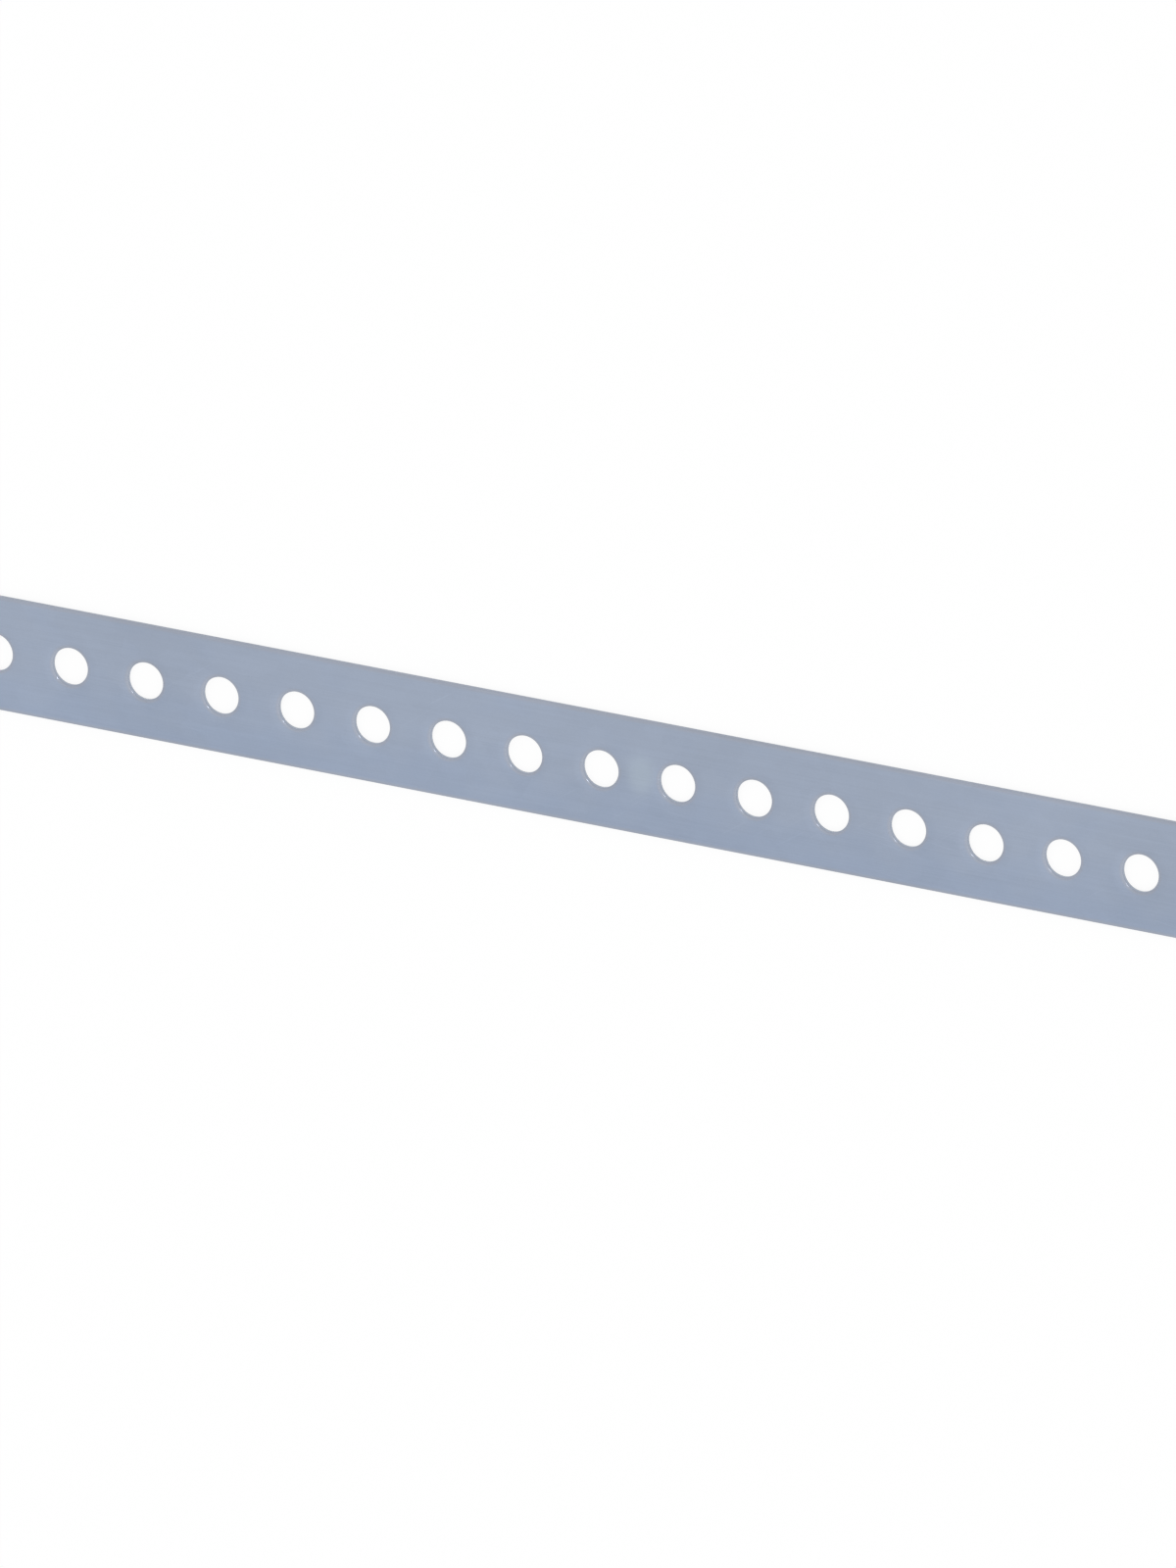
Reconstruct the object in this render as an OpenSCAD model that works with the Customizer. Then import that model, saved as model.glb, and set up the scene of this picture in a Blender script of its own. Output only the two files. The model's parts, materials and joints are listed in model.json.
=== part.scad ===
// Perforated mounting strap: a flat band of zinc-plated steel with one row of
// punched round holes, cut square at both ends. It is one piece of metal.
// X runs along the strap, Y across it and Z up through its thickness.
// The strap lies flat, and the origin is in the middle of its underside.

/* [Strap] */
// Length of the cut piece
strap_length = 1000; // [60:1:3000]
// Width of the band
strap_width = 17; // [10:0.5:40]
// Thickness of the sheet
strap_thickness = 0.8; // [0.5:0.05:2]
// Radius of the four rounded long edges
edge_radius = 0.2; // [0.05:0.05:0.35]

/* [Holes] */
// Diameter of the punched holes
hole_diameter = 5.5; // [3:0.1:9]
// Distance between hole centres along the strap
hole_pitch = 12; // [8:0.5:40]
// Distance from the end of the strap to the centre of its first hole
end_margin = 8; // [5.5:0.5:20]
// Radius of the rim that the punch rolls over on the upper face
rim_radius = 0.15; // [0.05:0.05:0.4]

/* [Hidden] */
$fn = 64;

// Metal colour
zinc_colour = [0.61, 0.65, 0.73];

// How far the hole cutters reach past the faces of the sheet
cut_over = 1;

// The two rounded edges of a side leave at least a third of it flat between them
corner_radius = min(edge_radius, strap_thickness / 3);

// The rolled rim leaves a straight wall below it, at least half as high as the sheet
roll_radius = min(rim_radius, strap_thickness / 2);
hole_radius = hole_diameter / 2;

// As many holes as the length takes, with at least the end margin past the last one.
// The slack keeps a hole that just fits from being lost to rounding.
row_slack = 0.001;
row_length = strap_length - 2 * end_margin;
hole_count = 1 + floor((row_length + row_slack) / hole_pitch);
first_hole_x = end_margin - strap_length / 2;

// Cross-section of the band: a rectangle with four rounded corners
module band_section() {
    flat_width = strap_width - 2 * corner_radius;
    land_height = strap_thickness - 2 * corner_radius;
    translate([-flat_width / 2, 0])
        square([flat_width, strap_thickness]);
    translate([-strap_width / 2, corner_radius])
        square([strap_width, land_height]);
    for (side = [-1, 1], level = [corner_radius, strap_thickness - corner_radius])
        translate([side * flat_width / 2, level])
            circle(corner_radius);
}

// The solid band before punching, extruded along X
module band() {
    translate([-strap_length / 2, 0, 0])
        rotate([90, 0, 90])
            linear_extrude(strap_length)
                band_section();
}

// What one stroke of the punch takes away: a straight bore with a rolled rim at its mouth
module punched_hole() {
    roll_centre = [hole_radius + roll_radius, strap_thickness - roll_radius];
    rotate_extrude() {
        translate([0, -cut_over])
            square([hole_radius, strap_thickness + 2 * cut_over]);
        difference() {
            translate([0, roll_centre[1]])
                square([roll_centre[0], roll_radius + cut_over]);
            translate(roll_centre)
                circle(roll_radius);
        }
    }
}

// The finished strap
module strap() {
    color(zinc_colour)
        difference() {
            band();
            for (i = [0 : hole_count - 1])
                translate([first_hole_x + i * hole_pitch, 0, 0])
                    punched_hole();
        }
}

strap();
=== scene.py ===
"""Looks of a perforated mounting strap: a flat zinc-plated steel band with one row of punched holes.

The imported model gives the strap's box and its holes. This script models the same band with the marks of
its making: the upper face drawn down around each hole, the sheared hole walls, the slit edges and the cut
ends. It dresses them in zinc plating, and sets up the floor, the light and the camera.
"""

import json
import logging
import math
from collections.abc import Callable, Iterable
from dataclasses import dataclass
from enum import Enum
from typing import Any

import bmesh
import bpy
from mathutils import Matrix, Vector

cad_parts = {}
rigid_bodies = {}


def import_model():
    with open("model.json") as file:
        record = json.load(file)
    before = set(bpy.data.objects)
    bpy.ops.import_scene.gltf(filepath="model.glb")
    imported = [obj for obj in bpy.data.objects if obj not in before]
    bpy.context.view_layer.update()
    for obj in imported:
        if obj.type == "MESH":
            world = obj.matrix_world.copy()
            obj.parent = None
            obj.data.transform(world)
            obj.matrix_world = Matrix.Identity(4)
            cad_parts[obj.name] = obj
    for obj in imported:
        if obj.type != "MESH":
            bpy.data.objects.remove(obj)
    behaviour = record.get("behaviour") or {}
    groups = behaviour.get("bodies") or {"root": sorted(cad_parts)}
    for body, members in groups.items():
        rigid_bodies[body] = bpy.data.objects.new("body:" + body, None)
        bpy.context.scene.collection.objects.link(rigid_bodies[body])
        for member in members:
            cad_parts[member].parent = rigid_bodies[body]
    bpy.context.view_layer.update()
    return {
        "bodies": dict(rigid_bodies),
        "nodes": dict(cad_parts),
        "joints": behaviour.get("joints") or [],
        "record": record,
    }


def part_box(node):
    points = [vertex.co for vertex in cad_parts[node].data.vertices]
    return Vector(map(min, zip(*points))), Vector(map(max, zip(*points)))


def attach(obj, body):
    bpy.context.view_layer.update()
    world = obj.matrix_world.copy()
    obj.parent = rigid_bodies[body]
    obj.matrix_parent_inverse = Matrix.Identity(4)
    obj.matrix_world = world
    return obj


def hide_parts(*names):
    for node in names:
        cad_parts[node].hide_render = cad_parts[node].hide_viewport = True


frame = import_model()

log = logging.getLogger("strap")

MM = 0.001
RIGHT_ANGLE = 90.0
NOISE_MIDDLE = 0.5
WHITE = (1.0, 1.0, 1.0, 1.0)
NODE = "strap"
BODY = "root"
MAP_NAME = "OFBake"

# Numbers of the Mix node's colour sockets, because its sockets for other kinds of value share their names
MIX_START = 6
MIX_END = 7
MIX_RESULT = 2

Colour = tuple[float, float, float]
Triple = tuple[float, float, float]


class Value:
    """A socket in a node tree. Arithmetic on it adds Math nodes and gives the result's socket."""

    def __init__(self, graph: "Graph", socket: bpy.types.NodeSocket | None) -> None:
        """Keeps the socket, and the graph that new nodes go into."""
        self.graph = graph
        self.socket = socket

    def math(self, operation: str, *operands: "Value | float") -> "Value":
        """Adds a Math node that takes this value first and the operands after it."""
        return self.graph.maths(operation, self, *operands)

    def beside(self, output: str) -> "Value":
        """Gives another output of the same node."""
        return Value(self.graph, self.socket.node.outputs[output])

    def __add__(self, other: "Value | float") -> "Value":
        """Gives self + other."""
        return self.graph.maths("ADD", self, other)

    def __radd__(self, other: float) -> "Value":
        """Gives other + self."""
        return self.graph.maths("ADD", other, self)

    def __sub__(self, other: "Value | float") -> "Value":
        """Gives self - other."""
        return self.graph.maths("SUBTRACT", self, other)

    def __rsub__(self, other: float) -> "Value":
        """Gives other - self."""
        return self.graph.maths("SUBTRACT", other, self)

    def __mul__(self, other: "Value | float") -> "Value":
        """Gives self * other."""
        return self.graph.maths("MULTIPLY", self, other)

    def __rmul__(self, other: float) -> "Value":
        """Gives other * self."""
        return self.graph.maths("MULTIPLY", other, self)

    def __abs__(self) -> "Value":
        """Gives the size of self without its sign."""
        return self.graph.maths("ABSOLUTE", self)


@dataclass(frozen=True)
class Fade:
    """A smooth change from none of something, at one place, to the full amount, at another."""

    none: float
    full: float


@dataclass(frozen=True)
class Texture:
    """One layer of variation in the metal. Lengths are in millimetres.

    The grain is the length of its blotches along X, Y and Z, the middle is the place that its pattern is
    counted from, and the detail is how many finer layers lie on top. The shade and the roughness are how
    far they swing from the lowest to the highest blotch, and the relief is how high the highest one stands.
    """

    grain: Triple
    middle: Triple = (0.0, 0.0, 0.0)
    detail: float = 2.0
    shade: float = 0.0
    roughness: float = 0.0
    relief: float = 0.0


class Graph:
    """The node tree of one material or world, which starts empty."""

    def __init__(self, tree: bpy.types.NodeTree) -> None:
        """Takes over the tree and clears it."""
        self.tree = tree
        tree.nodes.clear()

    def node(
        self,
        kind: str,
        settings: dict[str, Any] | None = None,
        sockets: dict[str | int, Any] | None = None,
        output: str | int = 0,
    ) -> Value:
        """Adds a node.

        Args:
            kind: The node's type.
            settings: Properties of the node, set first.
            sockets: What goes into its inputs, by name, or by number where inputs share a name. A Value is
                linked, and anything else is set.
            output: The output that is wanted, by name or number.

        Returns:
            That output, or a Value without a socket if the node has no outputs.
        """
        node = self.tree.nodes.new(kind)
        for name, setting in (settings or {}).items():
            setattr(node, name, setting)
        for key, given in (sockets or {}).items():
            if isinstance(given, Value):
                self.tree.links.new(given.socket, node.inputs[key])
            else:
                node.inputs[key].default_value = given
        return Value(self, node.outputs[output] if node.outputs else None)

    def maths(self, operation: str, *operands: Value | float) -> Value:
        """Adds a Math node with these operands."""
        return self.node("ShaderNodeMath", {"operation": operation}, dict(enumerate(operands)))

    def mixed(self, share: Value, start: Value | Colour, end: Value | Colour) -> Value:
        """Adds a colour mix.

        Args:
            share: How much of the end colour there is, from 0 to 1.
            start: The colour at 0.
            end: The colour at 1.

        Returns:
            The mixed colour.
        """
        start, end = (given if isinstance(given, Value) else (*given, 1.0) for given in (start, end))
        sockets = {"Factor": share, MIX_START: start, MIX_END: end}
        return self.node("ShaderNodeMix", {"data_type": "RGBA"}, sockets, output=MIX_RESULT)

    def scaled(self, vector: Value, factor: Value | float) -> Value:
        """Gives a colour or a place times a number."""
        return self.node("ShaderNodeVectorMath", {"operation": "SCALE"}, {"Vector": vector, "Scale": factor})

    def mask(self, value: Value, fade: Fade, unit: float = 1.0) -> Value:
        """Gives a mask with a soft edge.

        Args:
            value: What decides.
            fade: The values at which the mask is 0 and 1.
            unit: What the fade's numbers are counted in.

        Returns:
            The mask, from 0 to 1.
        """
        return self.node(
            "ShaderNodeMapRange",
            {"interpolation_type": "SMOOTHSTEP"},
            {"Value": value, "From Min": fade.none * unit, "From Max": fade.full * unit},
        )

    def laid(self, place: Value, texture: Texture, turn: float = 0.0) -> Value:
        """Lays a texture on the surface.

        Args:
            place: Where on the surface, in millimetres.
            texture: What is laid, for its grain and its middle.
            turn: How far it is turned about Z, in radians.

        Returns:
            The place as the texture counts it, from its middle and in grains.
        """
        sockets = {
            "Vector": place,
            "Location": texture.middle,
            "Rotation": (0.0, 0.0, turn),
            "Scale": texture.grain,
        }
        return self.node("ShaderNodeMapping", {"vector_type": "TEXTURE"}, sockets)

    def noise(self, place: Value, texture: Texture, turn: float = 0.0) -> Value:
        """Adds the noise of a texture.

        Args:
            place: Where on the surface, in millimetres.
            texture: What the noise is like.
            turn: How far it is turned about Z, in radians.

        Returns:
            A number from 0 to 1, mostly near 0.5.
        """
        laid = self.laid(place, texture, turn)
        sockets = {"Vector": laid, "Scale": 1.0, "Detail": texture.detail}
        return self.node("ShaderNodeTexNoise", sockets=sockets, output="Fac")

    def seen_directly(self) -> Value:
        """Tells what is seen from what is only lit.

        Returns:
            1 for rays from the camera and for those that metal or glass sends on, and 0 for others.
        """
        camera = self.node("ShaderNodeLightPath", output="Is Camera Ray")
        glossy = camera.beside("Is Glossy Ray")
        clear = camera.beside("Is Transmission Ray")
        return camera.math("MAXIMUM", glossy).math("MAXIMUM", clear)


@dataclass(frozen=True)
class StrapSizes:
    """The strap's sizes in metres.

    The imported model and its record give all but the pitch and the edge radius.
    """

    length: float
    width: float
    thickness: float
    hole_radius: float
    first_hole: float
    hole_count: int
    pitch: float = 12 * MM
    edge_radius: float = 0.2 * MM

    @classmethod
    def read(cls, packed: dict[str, Any]) -> "StrapSizes":
        """Reads the sizes.


        Returns:
            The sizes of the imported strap.
        """
        low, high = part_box(NODE)
        bores = [mount for mount in packed["record"]["mounts"] if mount["kind"] == "bore"]
        places = [bore["pos_m"][0] for bore in bores]
        return cls(
            length=high.x - low.x,
            width=high.y - low.y,
            thickness=high.z - low.z,
            hole_radius=bores[0]["dims"]["r_mm"] * MM,
            first_hole=min(places),
            hole_count=1 + round((max(places) - min(places)) / cls.pitch),
        )


class SurfacePlace:
    """Where a point of the strap's surface lies, for a material. Lengths are in millimetres."""

    def __init__(self, graph: Graph, sizes: StrapSizes) -> None:
        """Adds the nodes.

        Args:
            graph: The material's nodes.
            sizes: The strap, whose holes and edges are measured to.
        """
        metres = graph.node("ShaderNodeTexCoord", output="Object")
        self.spot = graph.scaled(metres, 1 / MM)
        along = graph.node("ShaderNodeSeparateXYZ", sockets={"Vector": self.spot}, output="X")
        self.across = along.beside("Y")
        self.up = along.beside("Z")
        half_pitch = sizes.pitch / 2 / MM
        aside = (along - sizes.first_hole / MM).math("WRAP", half_pitch, -half_pitch)
        self.from_hole = (aside * aside + self.across * self.across).math("SQRT") - sizes.hole_radius / MM
        self.from_slit = sizes.width / 2 / MM - abs(self.across)
        self.from_end = sizes.length / 2 / MM - abs(along)


@dataclass(frozen=True)
class Marks:
    """What punching, slitting, cutting, wear and handling leave on the metal, and one paler patch, as masks
    from 0 to 1.
    """

    rim: Value
    wall: Value
    slit: Value
    end: Value
    torn: Value
    sheared: Value
    worn: Value
    in_pale_patch: Value


Variation = list[tuple[Texture, Value]]


@dataclass(frozen=True)
class ZincPlating:
    """Blue-passivated zinc on rolled steel, rubbed greyer along its edges.

    Lengths are in millimetres and turns in degrees. The fades of the hole, the slit and worn edges and the
    cut ends are distances from them, those of the wall are shares of the thickness, that of the painted
    reflection side is in half widths, those of the scuffs are levels of noise, and that of the pale patch is
    in its own grains. Towards one long edge the colour is painted darker and bluer, a painted reflection.
    """

    colour: Colour = (0.3256, 0.3762, 0.4717)
    # Painted reflection: the darker, bluer colour that one long edge turns towards; the random tone swing
    # also reaches it in places
    blue_tone_and_reflection_colour: Colour = (0.3037, 0.3603, 0.4687)
    worn_colour: Colour = (0.338, 0.3645, 0.428)
    # Colour of the one paler patch on the upper face between two holes
    pale_patch_colour: Colour = (0.3653, 0.426, 0.5129)
    burnished_colour: Colour = (0.375, 0.42, 0.505)
    sheared_colour: Colour = (0.325, 0.365, 0.445)
    cut_colour: Colour = (0.39, 0.39, 0.395)
    roughness: float = 0.38
    drift: Texture = Texture((40.0, 120.0, 120.0), middle=(58.0, -60.0, -60.0), detail=1.0, shade=0.2)
    clouds: Texture = Texture((11.0, 3.5, 3.5), detail=3.0, shade=0.07, roughness=0.08)
    bands: Texture = Texture((70.0, 0.6, 0.6), detail=1.0, shade=0.05, roughness=0.06)
    lines: Texture = Texture((24.0, 0.16, 0.16), shade=0.14, roughness=0.16, relief=0.002)
    specks: Texture = Texture((0.3, 0.25, 0.25), detail=1.0, shade=0.07, roughness=0.08, relief=0.001)
    tones: Texture = Texture((6.0, 4.0, 4.0))
    scuffs: Texture = Texture((14.0, 0.22, 0.22), detail=1.0, shade=0.06, roughness=-0.06, relief=-0.001)
    patches: Texture = Texture((30.0, 9.0, 9.0), detail=1.0)
    streaks: Texture = Texture((0.3, 0.3, 4.0), detail=4.0, shade=0.55, roughness=0.14, relief=0.006)
    crystals: Texture = Texture((3.2, 2.2, 2.2), shade=0.03, roughness=0.05)
    # The one paler patch between two holes: its size, its place and its soft edge
    pale_patch: Texture = Texture((2.0, 2.8, 0.4), middle=(6.4, 0.4, 0.8), roughness=0.03)
    pale_patch_edge: Fade = Fade(none=1.5, full=0.3)
    crystal_warp: float = 0.9
    tone_swing: float = 1.4
    rim_polish: float = 0.2
    cut_roughness: float = 0.1
    slit_tear: float = 0.5
    tear_base: float = 0.35
    tear_swing: float = 0.9
    burnish_marks: float = 0.35
    scuff_turns: tuple[float, float] = (-9.0, 34.0)
    scuff_patch: Fade = Fade(none=0.5, full=0.66)
    scuff_mark: Fade = Fade(none=0.68, full=0.78)
    worn_edge: Fade = Fade(none=0.68, full=0.2)
    hole_rim: Fade = Fade(none=0.35, full=0.1)
    hole_wall: Fade = Fade(none=0.12, full=0.08)
    slit_edge: Fade = Fade(none=0.1, full=0.02)
    cut_end: Fade = Fade(none=0.14, full=0.04)
    wall_top: Fade = Fade(none=0.8, full=0.6)
    torn_wall: Fade = Fade(none=0.62, full=0.4)
    # Painted reflection: where across the width the colour turns darker and bluer, in half widths
    painted_reflection_side: Fade = Fade(none=0.3, full=-0.95)

    def material(self, sizes: StrapSizes) -> bpy.types.Material:
        """Makes the material.

        Args:
            sizes: The strap that it dresses, whose holes and edges it follows.

        Returns:
            The material.
        """
        material = bpy.data.materials.new("zinc_plating")
        material.use_nodes = True
        graph = Graph(material.node_tree)
        at = SurfacePlace(graph, sizes)
        streaks = self._swing(graph, at.spot, self.streaks)
        variation = self._variation(graph, at.spot)
        marks = self._marks(graph, sizes, at, streaks)
        face = self._face(graph, sizes, at, variation, marks)
        colour = self._edged(graph, face, marks, streaks)
        rough = self._roughness(variation, marks)
        relief = self._relief(variation, marks, streaks)
        bump = graph.node("ShaderNodeBump", sockets={"Strength": 1.0, "Distance": MM, "Height": relief})
        shader = graph.node(
            "ShaderNodeBsdfPrincipled",
            sockets={"Base Color": colour, "Metallic": 1.0, "Roughness": rough, "Normal": bump},
        )
        graph.node("ShaderNodeOutputMaterial", sockets={"Surface": shader})
        return material

    def _variation(self, graph: Graph, spot: Value) -> Variation:
        """Lists the layers of variation.

        Args:
            graph: The material's nodes.
            spot: Where on the surface, in millimetres.

        Returns:
            Each layer with how far it swings there.
        """
        layers = (self.drift, self.clouds, self.bands, self.lines, self.specks)
        return [
            *((layer, self._swing(graph, spot, layer)) for layer in layers),
            (self.crystals, self._crystals(graph, spot)),
            (self.scuffs, self._scuffs(graph, spot)),
        ]

    def _marks(self, graph: Graph, sizes: StrapSizes, at: SurfacePlace, streaks: Value) -> Marks:
        """Finds the marks of making, wear and handling, and the paler patch.

        Args:
            graph: The material's nodes.
            sizes: The strap's sizes.
            at: Where on the surface.
            streaks: The swing of the streaks that break up the torn and the worn metal.

        Returns:
            The marks.
        """
        thickness = sizes.thickness / MM
        wall = graph.mask(at.from_hole, self.hole_wall) * graph.mask(at.up, self.wall_top, thickness)
        slit = graph.mask(at.from_slit, self.slit_edge)
        torn = graph.mask(at.up, self.torn_wall, thickness)
        broken = self.tear_base + self.tear_swing * (streaks + NOISE_MIDDLE)
        from_edge = at.from_hole.math("MINIMUM", at.from_slit)
        return Marks(
            rim=graph.mask(at.from_hole, self.hole_rim),
            wall=wall,
            slit=slit,
            end=graph.mask(at.from_end, self.cut_end),
            torn=torn,
            sheared=wall.math("MAXIMUM", slit * self.slit_tear) * torn * broken,
            worn=graph.mask(from_edge, self.worn_edge) * broken,
            in_pale_patch=self._pale_patch(graph, at.spot),
        )

    def _face(
        self, graph: Graph, sizes: StrapSizes, at: SurfacePlace, variation: Variation, marks: Marks
    ) -> Value:
        """Gives the colour of the faces.

        Args:
            graph: The material's nodes.
            sizes: The strap's sizes.
            at: Where on the surface.
            variation: The layers of variation.
            marks: The marks of making, wear and handling, and the paler patch.

        Returns:
            The colour, painted darker and bluer towards one edge as a painted reflection, paler in one patch
            and greyer where it is worn.
        """
        # Painted reflection: darker and bluer towards one long edge, with a random tone swing on top
        painted_reflection_side = graph.mask(at.across, self.painted_reflection_side, sizes.width / 2 / MM)
        bluish_tone_and_reflection = painted_reflection_side + self.tone_swing * self._swing(graph, at.spot, self.tones)
        colour = graph.mixed(bluish_tone_and_reflection, self.colour, self.blue_tone_and_reflection_colour)
        # Paler in one patch on the upper face between two holes
        colour = graph.mixed(marks.in_pale_patch, colour, self.pale_patch_colour)
        colour = graph.mixed(marks.worn, colour, self.worn_colour)
        return graph.scaled(colour, sum((layer.shade * swing for layer, swing in variation), 1.0))

    def _edged(self, graph: Graph, face: Value, marks: Marks, streaks: Value) -> Value:
        """Adds the colours of the hole walls, the slit edges and the cut ends.

        Args:
            graph: The material's nodes.
            face: The colour of the faces.
            marks: The marks of making, wear and handling.
            streaks: The swing of the streaks down the walls and edges.

        Returns:
            The colour all over.
        """
        colour = graph.mixed(marks.wall, face, self.burnished_colour)
        colour = graph.mixed(marks.sheared, colour, self.sheared_colour)
        colour = graph.mixed(marks.end, colour, self.cut_colour)
        edge = marks.wall.math("MAXIMUM", marks.slit).math("MAXIMUM", marks.end)
        streaked = edge * (self.burnish_marks + (1.0 - self.burnish_marks) * marks.torn) * streaks
        return graph.scaled(colour, 1.0 + self.streaks.shade * streaked)

    def _roughness(self, variation: Variation, marks: Marks) -> Value:
        """Gives the roughness.

        Args:
            variation: The layers of variation.
            marks: The marks of making, wear and handling, and the paler patch.

        Returns:
            The roughness, lower on the polished hole rims and higher in the pale patch and on torn and cut
            metal.
        """
        varied = [(layer, swing) for layer, swing in variation if layer.roughness]
        rough = sum((layer.roughness * swing for layer, swing in varied), self.roughness)
        rough = rough - self.rim_polish * marks.rim + self.pale_patch.roughness * marks.in_pale_patch
        return rough + self.streaks.roughness * marks.sheared + self.cut_roughness * marks.end

    def _relief(self, variation: Variation, marks: Marks, streaks: Value) -> Value:
        """Gives the height of the fine relief.

        Args:
            variation: The layers of variation.
            marks: The marks of making, wear and handling.
            streaks: The swing of the streaks in the torn metal.

        Returns:
            The height, in millimetres.
        """
        torn = self.streaks.relief * marks.sheared * streaks
        return sum((layer.relief * swing for layer, swing in variation if layer.relief), torn)

    def _swing(self, graph: Graph, spot: Value, layer: Texture) -> Value:
        """Gives a layer's noise, which swings about 0."""
        return graph.noise(spot, layer) - NOISE_MIDDLE

    def _crystals(self, graph: Graph, spot: Value) -> Value:
        """Gives the faint crystals of the zinc, each a little lighter or darker than the next.

        Args:
            graph: The material's nodes.
            spot: Where on the surface, in millimetres.

        Returns:
            A number for each crystal, which swings about 0.
        """
        warp = graph.node("ShaderNodeTexNoise", sockets={"Vector": spot, "Scale": 1.0}, output="Color")
        reach = (self.crystal_warp,) * 3
        warped = graph.node(
            "ShaderNodeVectorMath", {"operation": "MULTIPLY_ADD"}, {0: warp, 1: reach, 2: spot}
        )
        laid = graph.laid(warped, self.crystals)
        cells = graph.node("ShaderNodeTexVoronoi", sockets={"Vector": laid, "Scale": 1.0}, output="Color")
        return graph.node("ShaderNodeSeparateColor", sockets={"Color": cells}, output="Red") - NOISE_MIDDLE

    def _scuffs(self, graph: Graph, spot: Value) -> Value:
        """Gives faint hairline scuffs in a few patches.

        Args:
            graph: The material's nodes.
            spot: Where on the surface, in millimetres.

        Returns:
            A number from 0 to 1.
        """
        lengthwise, slanting = (
            graph.noise(spot, self.scuffs, math.radians(turn)) for turn in self.scuff_turns
        )
        marks = graph.mask(lengthwise.math("MAXIMUM", slanting), self.scuff_mark)
        return marks * graph.mask(graph.noise(spot, self.patches), self.scuff_patch)

    def _pale_patch(self, graph: Graph, spot: Value) -> Value:
        """Gives the one faint paler patch, which lies on the upper face between two holes.

        Args:
            graph: The material's nodes.
            spot: Where on the surface, in millimetres.

        Returns:
            A number from 0 to 1.
        """
        away = graph.laid(spot, self.pale_patch)
        reach = graph.node("ShaderNodeVectorMath", {"operation": "LENGTH"}, {"Vector": away}, output="Value")
        return graph.mask(reach, self.pale_patch_edge)


def picked(geometry: list[Any], kind: type) -> list[Any]:
    """Picks the vertices or the edges out of what a mesh operator gave back."""
    return [item for item in geometry if isinstance(item, kind)]


def ends_of(edges: Iterable[bmesh.types.BMEdge]) -> list[bmesh.types.BMVert]:
    """Gives the vertices of some edges, each once and in the same order every time."""
    return list(dict.fromkeys(vert for edge in edges for vert in edge.verts))


class End(Enum):
    """The two cut ends of the strap, by the direction that they face along X."""

    LEFT = -1
    RIGHT = 1


class Edge(Enum):
    """The two slit long edges of the strap, by the direction that they face along Y."""

    FRONT = -1
    BACK = 1


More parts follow.
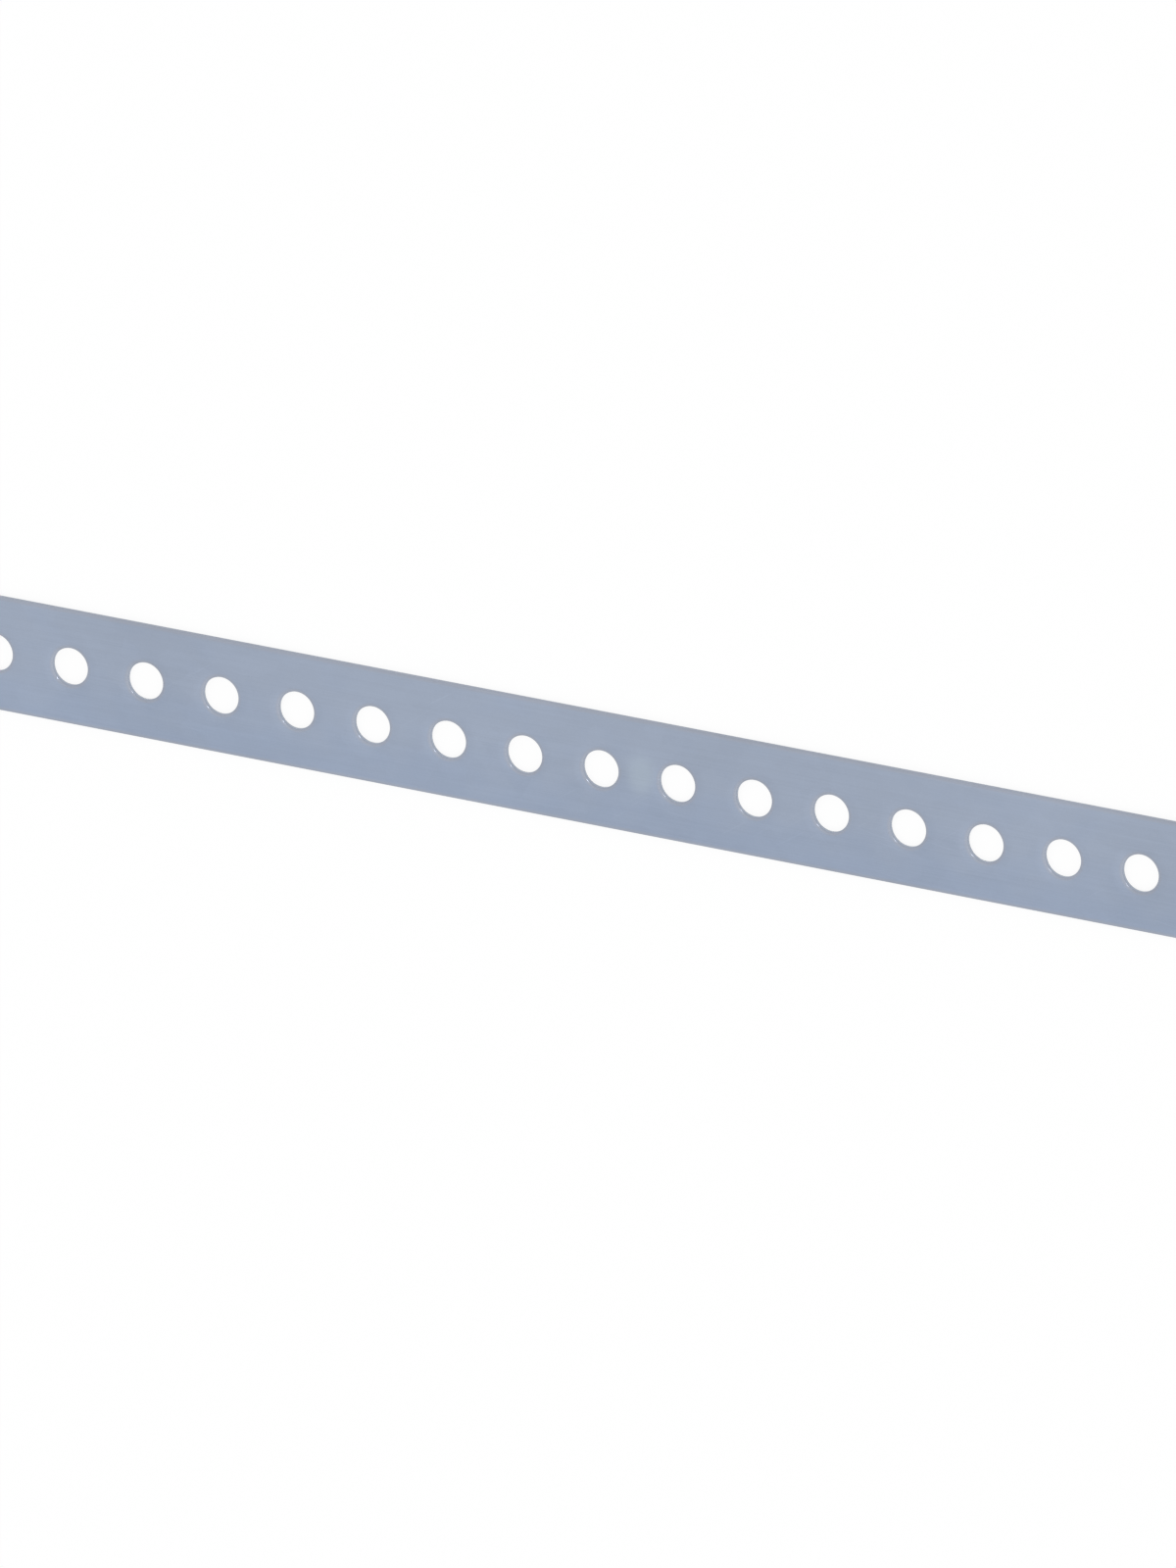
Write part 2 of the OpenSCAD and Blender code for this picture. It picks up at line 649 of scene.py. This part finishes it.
@dataclass
class PunchedStrap:
    """The band with its holes, built from one cell of the row that is repeated along it.

    A cell is one hole and the metal around it, one pitch long. The draw is the shallow dish that the punch
    pulls into the upper face, the lip is the rolled rim in the dish, and the tear is the lower part of the
    wall. The map is the flat layout of the surface for a baked texture. Lengths are in metres.
    """

    sizes: StrapSizes
    finish: ZincPlating
    name: str = "strap_band"
    draw_width: float = 1.5 * MM
    draw_depth: float = 0.12 * MM
    draw_power: float = 1.6
    lip_radius: float = 0.22 * MM
    tear_flare: float = 0.04 * MM
    burnish_share: float = 0.4
    end_chamfer: float = 0.07 * MM
    ring_steps: int = 48
    side_steps: int = 10
    draw_steps: int = 5
    round_steps: int = 4
    map_row_cells: int = 17
    map_gap: float = 0.6 * MM
    map_fold: float = 1.5
    tolerance: float = 1e-6

    def build(self) -> bpy.types.Object:
        """Builds the strap's mesh and object.

        Returns:
            The strap, at its place in the frame.
        """
        bm = bmesh.new()
        self._line_hole(bm)
        self._surround_hole(bm)
        for edge in Edge:
            self._round_edge(bm, edge)
        self._repeat(bm)
        bmesh.ops.remove_doubles(bm, verts=bm.verts, dist=self.tolerance)
        for end in End:
            self._cut_end(bm, end)
        bmesh.ops.recalc_face_normals(bm, faces=bm.faces)
        for face in bm.faces:
            face.smooth = True
        self._map_surface(bm)
        mesh = bpy.data.meshes.new(self.name)
        bm.to_mesh(mesh)
        bm.free()
        piece = bpy.data.objects.new(self.name, mesh)
        bpy.context.scene.collection.objects.link(piece)
        piece.modifiers.new("even_normals", "WEIGHTED_NORMAL")
        return piece

    def dress(self, piece: bpy.types.Object) -> None:
        """Gives the strap its finish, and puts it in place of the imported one.

        Args:
            piece: The strap.
        """
        piece.data.materials.append(self.finish.material(self.sizes))
        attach(piece, BODY)
        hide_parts(NODE)

    def _hole_profile(self) -> list[tuple[float, float]]:
        """Works out the section through one side of a hole, from the upper face down to the underside.

        Returns:
            Radius and height of each point: the face drawn down by the punch, the rolled lip, the
            burnished wall, the torn wall that flares a little, and its broken lower edge.
        """
        sizes = self.sizes
        slope = math.atan(self.draw_power * self.draw_depth / self.draw_width)
        lip_width = self.lip_radius * (1.0 - math.sin(slope))
        lip_height = sizes.thickness - self.draw_depth
        roll_height = lip_height - self.lip_radius * math.cos(slope)
        profile = []
        for step in range(self.draw_steps + 1):
            share = step / self.draw_steps
            radius = sizes.hole_radius + lip_width + self.draw_width * (1.0 - share)
            profile.append((radius, sizes.thickness - self.draw_depth * share**self.draw_power))
        for step in range(1, self.round_steps + 1):
            angle = slope + (math.pi / 2 - slope) * step / self.round_steps
            radius = sizes.hole_radius + self.lip_radius * (1.0 - math.sin(angle))
            profile.append((radius, roll_height + self.lip_radius * math.cos(angle)))
        profile.append((sizes.hole_radius, sizes.thickness * self.burnish_share))
        profile.append((sizes.hole_radius + self.tear_flare, self.tear_flare))
        profile.append((sizes.hole_radius + 2 * self.tear_flare, 0.0))
        return profile

    def _line_hole(self, bm: bmesh.types.BMesh) -> None:
        """Spins the hole's section all the way round.

        Args:
            bm: The cell.
        """
        verts = [bm.verts.new((radius, 0.0, height)) for radius, height in self._hole_profile()]
        edges = [bm.edges.new(pair) for pair in zip(verts, verts[1:])]
        bmesh.ops.spin(
            bm,
            geom=verts + edges,
            axis=(0.0, 0.0, 1.0),
            angle=math.tau,
            steps=self.ring_steps,
            use_merge=True,
        )

    def _surround_hole(self, bm: bmesh.types.BMesh) -> None:
        """Bridges the hole's upper and lower ring to the cell's rectangle in each face.

        The rectangle starts at a distance from the ring, so that both loops of the bridge run the same
        way round, and then moves into the face.

        Args:
            bm: The cell.
        """
        sizes = self.sizes
        flat_half = sizes.width / 2 - sizes.edge_radius
        end_steps = self.ring_steps // 2 - self.side_steps
        for height, apart in ((0.0, -sizes.thickness), (sizes.thickness, sizes.thickness)):
            ring = self._edges_where(bm, lambda co: abs(co.z - height) < self.tolerance)
            shape = Matrix.Translation((0.0, 0.0, height + apart)) @ Matrix.Diagonal(
                (sizes.pitch / 2, flat_half, 1.0, 1.0)
            )
            corners = bmesh.ops.create_grid(bm, x_segments=1, y_segments=1, size=1.0, matrix=shape)["verts"]
            sheet = corners[0].link_faces[0]
            sides = sheet.edges[:]
            bmesh.ops.delete(bm, geom=[sheet], context="FACES_ONLY")
            for side in sides:
                start, stop = side.verts
                steps = self.side_steps if abs(start.co.x - stop.co.x) > self.tolerance else end_steps
                bmesh.ops.subdivide_edges(bm, edges=[side], cuts=steps - 1)
            rectangle = [edge for edge in bm.edges if edge.is_wire]
            bmesh.ops.bridge_loops(bm, edges=ring + rectangle)
            bmesh.ops.translate(bm, verts=ends_of(rectangle), vec=(0.0, 0.0, -apart))

    def _round_edge(self, bm: bmesh.types.BMesh, edge: Edge) -> None:
        """Rolls the sheet round one long edge of the cell, from the upper face to the underside.

        Args:
            bm: The cell.
            edge: Which edge.
        """
        sizes = self.sizes
        inner = edge.value * (sizes.width / 2 - sizes.edge_radius)
        upper = sizes.thickness - sizes.edge_radius
        corner = self._edges_where(
            bm,
            lambda co: abs(co.y - inner) < self.tolerance
            and abs(co.z - sizes.thickness) < self.tolerance,
        )
        rolled = self._roll(bm, corner, edge, Vector((0.0, inner, upper)))
        land = self._draw_out(bm, rolled)
        bmesh.ops.translate(bm, verts=ends_of(land), vec=(0.0, 0.0, sizes.edge_radius - upper))
        self._roll(bm, land, edge, Vector((0.0, inner, sizes.edge_radius)))

    def _roll(
        self, bm: bmesh.types.BMesh, edges: list[bmesh.types.BMEdge], edge: Edge, centre: Vector
    ) -> list[bmesh.types.BMEdge]:
        """Spins edges a quarter turn outwards and down.

        Args:
            bm: The cell.
            edges: What is spun.
            edge: Which long edge it is at.
            centre: A point on the axis, which runs along the strap.

        Returns:
            The edges at the end of the turn.
        """
        spun = bmesh.ops.spin(
            bm,
            geom=ends_of(edges) + edges,
            cent=centre,
            axis=(1.0, 0.0, 0.0),
            angle=-edge.value * math.pi / 2,
            steps=self.round_steps,
        )
        return picked(spun["geom_last"], bmesh.types.BMEdge)

    def _draw_out(
        self, bm: bmesh.types.BMesh, edges: list[bmesh.types.BMEdge]
    ) -> list[bmesh.types.BMEdge]:
        """Extrudes edges, which aren't moved yet.

        Args:
            bm: The mesh.
            edges: What is extruded.

        Returns:
            The new edges that lie on the old ones.
        """
        drawn = bmesh.ops.extrude_edge_only(bm, edges=edges)["geom"]
        verts = set(picked(drawn, bmesh.types.BMVert))
        return [edge for edge in picked(drawn, bmesh.types.BMEdge) if verts.issuperset(edge.verts)]

    def _repeat(self, bm: bmesh.types.BMesh) -> None:
        """Moves the cell to the first hole's place and repeats it along the row.

        Args:
            bm: The cell, which becomes the row.
        """
        bmesh.ops.translate(bm, verts=bm.verts, vec=(self.sizes.first_hole, 0.0, 0.0))
        cell = bm.verts[:] + bm.edges[:] + bm.faces[:]
        for number in range(1, self.sizes.hole_count):
            copied = bmesh.ops.duplicate(bm, geom=cell)["geom"]
            verts = picked(copied, bmesh.types.BMVert)
            bmesh.ops.translate(bm, verts=verts, vec=(number * self.sizes.pitch, 0.0, 0.0))

    def _cut_end(self, bm: bmesh.types.BMesh, end: End) -> None:
        """Draws the last cell out to the end of the strap, breaks the cut's edges and closes it.

        Args:
            bm: The row of cells.
            end: Which end.
        """
        sizes = self.sizes
        outline = [edge for edge in bm.edges if edge.is_boundary and edge.verts[0].co.x * end.value > 0]
        middle = Matrix.Translation((0.0, 0.0, -sizes.thickness / 2))
        shrink = (
            1.0,
            1.0 - 2 * self.end_chamfer / sizes.width,
            1.0 - 2 * self.end_chamfer / sizes.thickness,
        )
        stops = (
            (sizes.length / 2 - self.end_chamfer, (1.0, 1.0, 1.0)),
            (sizes.length / 2, shrink),
        )
        for reach, scale in stops:
            outline = self._draw_out(bm, outline)
            verts = ends_of(outline)
            step = end.value * reach - verts[0].co.x
            bmesh.ops.translate(bm, verts=verts, vec=(step, 0.0, 0.0))
            bmesh.ops.scale(bm, verts=verts, vec=scale, space=middle)
        bmesh.ops.edgeloop_fill(bm, edges=outline)

    def _edges_where(
        self, bm: bmesh.types.BMesh, test: Callable[[Vector], bool]
    ) -> list[bmesh.types.BMEdge]:
        """Finds edges by their ends.

        Args:
            bm: The mesh.
            test: What both ends of an edge have to pass.

        Returns:
            The edges, in the mesh's order.
        """
        return [edge for edge in bm.edges if all(test(vert.co) for vert in edge.verts)]

    def _map_surface(self, bm: bmesh.types.BMesh) -> None:
        """Lays the surface out flat in rows of cells, so that a baked texture is sharp all along the strap.

        Each row holds a stretch of the upper face, with its edges and hole walls folded out level with
        it, and the same stretch of the underside.

        Args:
            bm: The whole strap.
        """
        sizes = self.sizes
        rows = math.ceil(sizes.hole_count / self.map_row_cells)
        fold_depth = self.map_fold * sizes.thickness
        upper_height = sizes.width + 2 * fold_depth + self.map_gap
        row_height = upper_height + sizes.width + self.map_gap
        end_margin = sizes.length / 2 + sizes.first_hole - sizes.pitch / 2
        row_left = end_margin + fold_depth + self.map_gap
        row_length = self.map_row_cells * sizes.pitch + 2 * row_left
        side = max(row_length, rows * row_height)
        layer = bm.loops.layers.uv.new(MAP_NAME)
        for face in bm.faces:
            middle = face.calc_center_median()
            nearest = round((middle.x - sizes.first_hole) / sizes.pitch)
            cell = min(max(nearest, 0), sizes.hole_count - 1)
            row = cell // self.map_row_cells
            hole = Vector((sizes.first_hole + cell * sizes.pitch, 0.0))
            row_start = sizes.first_hole + row * self.map_row_cells * sizes.pitch - sizes.pitch / 2
            under = max(vert.co.z for vert in face.verts) < self.tolerance
            lift = row * row_height + sizes.width / 2 + (upper_height if under else fold_depth)
            for loop in face.loops:
                spot = loop.vert.co.xy if under else self._folded(loop.vert.co, hole)
                spot += Vector((row_left - row_start, lift))
                loop[layer].uv = spot / side

    def _folded(self, co: Vector, hole: Vector) -> Vector:
        """Folds a point of the wall or of an edge out level with the upper face.

        Args:
            co: The point.
            hole: The middle of the nearest hole.

        Returns:
            Where the point comes to lie.
        """
        sizes = self.sizes
        drop = self.map_fold * (sizes.thickness - co.z)
        inward = hole - co.xy
        lining = inward.length < sizes.hole_radius + self.draw_width + self.lip_radius
        if lining:
            return co.xy + inward.normalized() * drop
        spot = co.xy
        if abs(co.y) > sizes.width / 2 - sizes.edge_radius + self.tolerance or co.z < self.tolerance:
            spot.y += math.copysign(drop, co.y)
        if abs(co.x) > sizes.length / 2 - self.tolerance:
            spot.x += math.copysign(drop, co.x)
        return spot


@dataclass(frozen=True)
class FloorPaint:
    """Matt white. What looks at it directly sees mostly plain white, and its shadows stay faint."""

    white_share: float = 0.87

    def material(self) -> bpy.types.Material:
        """Makes the material.

        Returns:
            The material.
        """
        material = bpy.data.materials.new("floor_paint")
        material.use_nodes = True
        graph = Graph(material.node_tree)
        matt = graph.node("ShaderNodeBsdfDiffuse", sockets={"Color": WHITE})
        plain = graph.node("ShaderNodeEmission", sockets={"Color": WHITE, "Strength": 1.0})
        share = graph.seen_directly() * self.white_share
        shader = graph.node("ShaderNodeMixShader", sockets={"Fac": share, 1: matt, 2: plain})
        graph.node("ShaderNodeOutputMaterial", sockets={"Surface": shader})
        material.cycles.emission_sampling = "NONE"
        return material


@dataclass(frozen=True)
class Floor:
    """A plain floor just under the strap. Lengths are in metres."""

    paint: FloorPaint
    name: str = "floor"
    half_size: float = 30.0
    gap: float = 0.05 * MM

    def build(self) -> bpy.types.Object:
        """Builds the floor.

        Returns:
            The floor's object.
        """
        bm = bmesh.new()
        level = Matrix.Translation((0.0, 0.0, -self.gap))
        bmesh.ops.create_grid(bm, x_segments=1, y_segments=1, size=self.half_size, matrix=level)
        mesh = bpy.data.meshes.new(self.name)
        bm.to_mesh(mesh)
        bm.free()
        floor = bpy.data.objects.new(self.name, mesh)
        bpy.context.scene.collection.objects.link(floor)
        mesh.materials.append(self.paint.material())
        return floor


@dataclass(frozen=True)
class Softbox:
    """A far lamp with a round face, so that it lights the whole strap alike. Angles are in degrees."""

    name: str
    azimuth: float
    elevation: float
    spread: float
    strength: float

    def build(self) -> bpy.types.Object:
        """Builds the lamp.

        Returns:
            The lamp's object.
        """
        lamp = bpy.data.lights.new(self.name, "SUN")
        lamp.angle = math.radians(self.spread)
        lamp.energy = self.strength
        holder = bpy.data.objects.new(self.name, lamp)
        turn = Matrix.Rotation(math.radians(self.azimuth), 4, "Z")
        tilt = Matrix.Rotation(math.radians(RIGHT_ANGLE - self.elevation), 4, "Y")
        holder.matrix_world = turn @ tilt
        bpy.context.scene.collection.objects.link(holder)
        return holder


@dataclass(frozen=True)
class Studio:
    """The white room around the strap and its softboxes."""

    softboxes: tuple[Softbox, ...] = (
        Softbox("overhead_softbox", azimuth=-24.0, elevation=60.0, spread=90.0, strength=0.26),
        Softbox("key_softbox", azimuth=55.0, elevation=64.0, spread=4.0, strength=0.15),
    )
    fill: float = 0.87

    def build(self) -> list[bpy.types.Object]:
        """Builds the room's light and the softboxes.

        Returns:
            The objects of the softboxes.
        """
        world = bpy.data.worlds.new("white_room")
        world.use_nodes = True
        bpy.context.scene.world = world
        graph = Graph(world.node_tree)
        strength = self.fill + (1.0 - self.fill) * graph.seen_directly()
        light = graph.node("ShaderNodeBackground", sockets={"Color": WHITE, "Strength": strength})
        graph.node("ShaderNodeOutputWorld", sockets={"Surface": light})
        return [softbox.build() for softbox in self.softboxes]


@dataclass(frozen=True)
class StrapCamera:
    """The camera of the photograph.

    Angles are in degrees and lengths in metres. The lens and the sensor are in millimetres.
    """

    name: str = "strap_camera"
    azimuth: float = 39.675
    elevation: float = 56.977
    roll: float = -123.744
    aim: Triple = (-2.06 * MM, -2.67 * MM, 0.38 * MM)
    distance: float = 3.9788
    lens: float = 652.5
    sensor: float = 36.0

    def build(self) -> bpy.types.Object:
        """Builds the camera and makes it the scene's.

        Returns:
            The camera's object.
        """
        data = bpy.data.cameras.new(self.name)
        data.lens = self.lens
        data.sensor_width = self.sensor
        holder = bpy.data.objects.new(self.name, data)
        turn = Matrix.Rotation(math.radians(self.azimuth + RIGHT_ANGLE), 4, "Z")
        tilt = Matrix.Rotation(math.radians(RIGHT_ANGLE - self.elevation), 4, "X")
        roll = Matrix.Rotation(math.radians(self.roll), 4, "Z")
        back = Matrix.Translation((0.0, 0.0, self.distance))
        holder.matrix_world = Matrix.Translation(self.aim) @ turn @ tilt @ back @ roll
        bpy.context.scene.collection.objects.link(holder)
        bpy.context.scene.camera = holder
        return holder


def main() -> None:
    """Builds the strap, the floor, the light and the camera, in that order."""
    logging.basicConfig(level=logging.INFO, format="%(name)s: %(message)s")
    bpy.context.scene.view_settings.view_transform = "Standard"
    strap = PunchedStrap(StrapSizes.read(frame), ZincPlating())
    piece = strap.build()
    strap.dress(piece)
    log.info("%s has %d faces and %d holes", piece.name, len(piece.data.polygons), strap.sizes.hole_count)
    floor = Floor(FloorPaint()).build()
    log.info("%s lies under the strap", floor.name)
    for lamp in Studio().build():
        log.info("%s lights the strap", lamp.name)
    camera = StrapCamera().build()
    log.info("%s looks down on the strap", camera.name)


if __name__ == "__main__":
    main()
